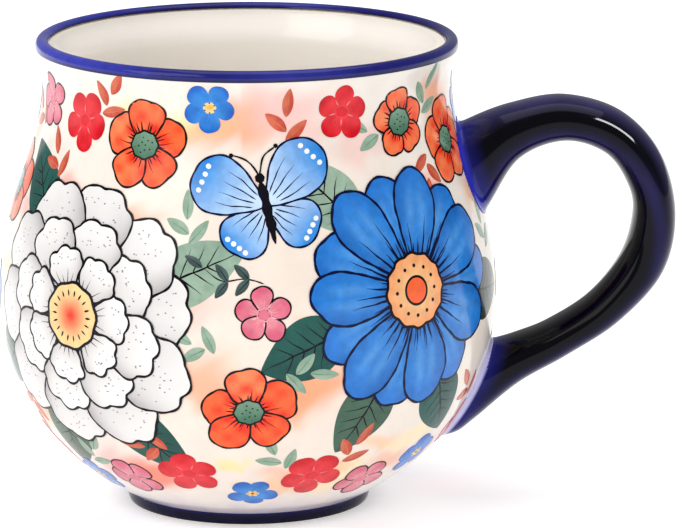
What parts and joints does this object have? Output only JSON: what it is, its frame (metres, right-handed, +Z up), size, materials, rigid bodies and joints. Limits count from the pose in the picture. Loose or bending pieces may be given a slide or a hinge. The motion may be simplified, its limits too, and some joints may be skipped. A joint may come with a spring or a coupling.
{
  "type": "stoneware mug",
  "caption": "Round-bellied glazed stoneware mug with a flared lip, a cobalt strap handle and painted flowers.",
  "frame": {"origin": "centre of the ring that the mug rests on, at table height", "axes": "+Z up along the mug's axis, +X from that axis towards the handle, -Y faces a viewer who sees the main flowers"},
  "size_m": [0.1362, 0.1, 0.095],
  "materials": {
    "clay": "fired off-white stoneware, bare only on the ring that it rests on",
    "slip": "clear glaze over pale slip with a little cobalt bled into it",
    "cream_glaze": "glossy warm white glaze",
    "painted_glaze": "glossy clear glaze over painted flowers, leaves and a butterfly",
    "cobalt_glaze": "glossy cobalt blue glaze, thinner and paler on edges",
    "dark_cobalt_glaze": "thick glossy blue-black cobalt glaze"
  },
  "bodies": {
    "root": {"stoneware_body": "clay", "handle_core": "clay", "upper_slip_joint": "slip", "lower_slip_joint": "slip", "interior_glaze": "cream_glaze", "exterior_glaze": "painted_glaze", "rim_band": "cobalt_glaze", "foot_band": "cobalt_glaze", "handle_glaze": "dark_cobalt_glaze", "underside_glaze": "cream_glaze"}
  },
  "joints": []
}
